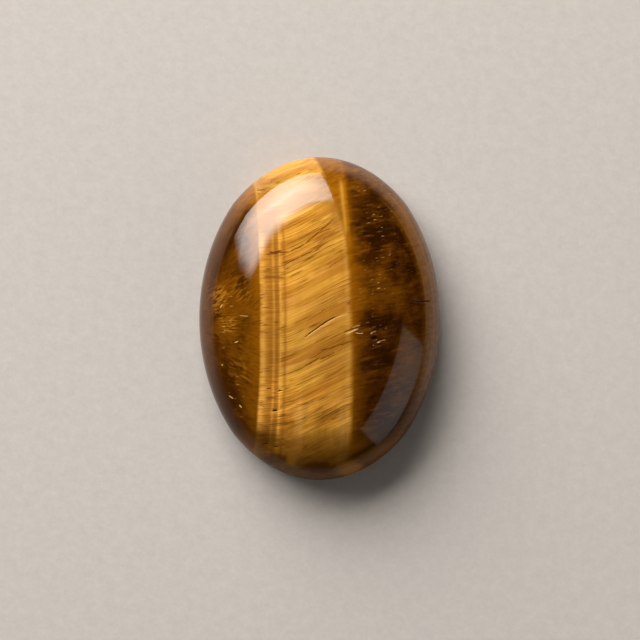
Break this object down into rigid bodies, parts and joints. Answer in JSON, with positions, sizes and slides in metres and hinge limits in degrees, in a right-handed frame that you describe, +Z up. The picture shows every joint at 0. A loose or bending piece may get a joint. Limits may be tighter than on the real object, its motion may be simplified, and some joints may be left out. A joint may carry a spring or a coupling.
{
  "type": "polished tiger's eye cabochon",
  "caption": "Oval domed gemstone with a flat back, banded gold and brown with silky cross fibres, to rest on a surface, hold or set.",
  "frame": {"origin": "middle of the flat back, on the surface that the stone rests on", "axes": "+Z up through the crown of the dome, +Y along the oval's length, +X across the oval"},
  "size_m": [0.03, 0.0402, 0.0104],
  "materials": {
    "tigers_eye": "polished, gold and brown bands with a silky sheen"
  },
  "bodies": {
    "root": {"tigers_eye_cabochon": "tigers_eye"}
  },
  "joints": []
}
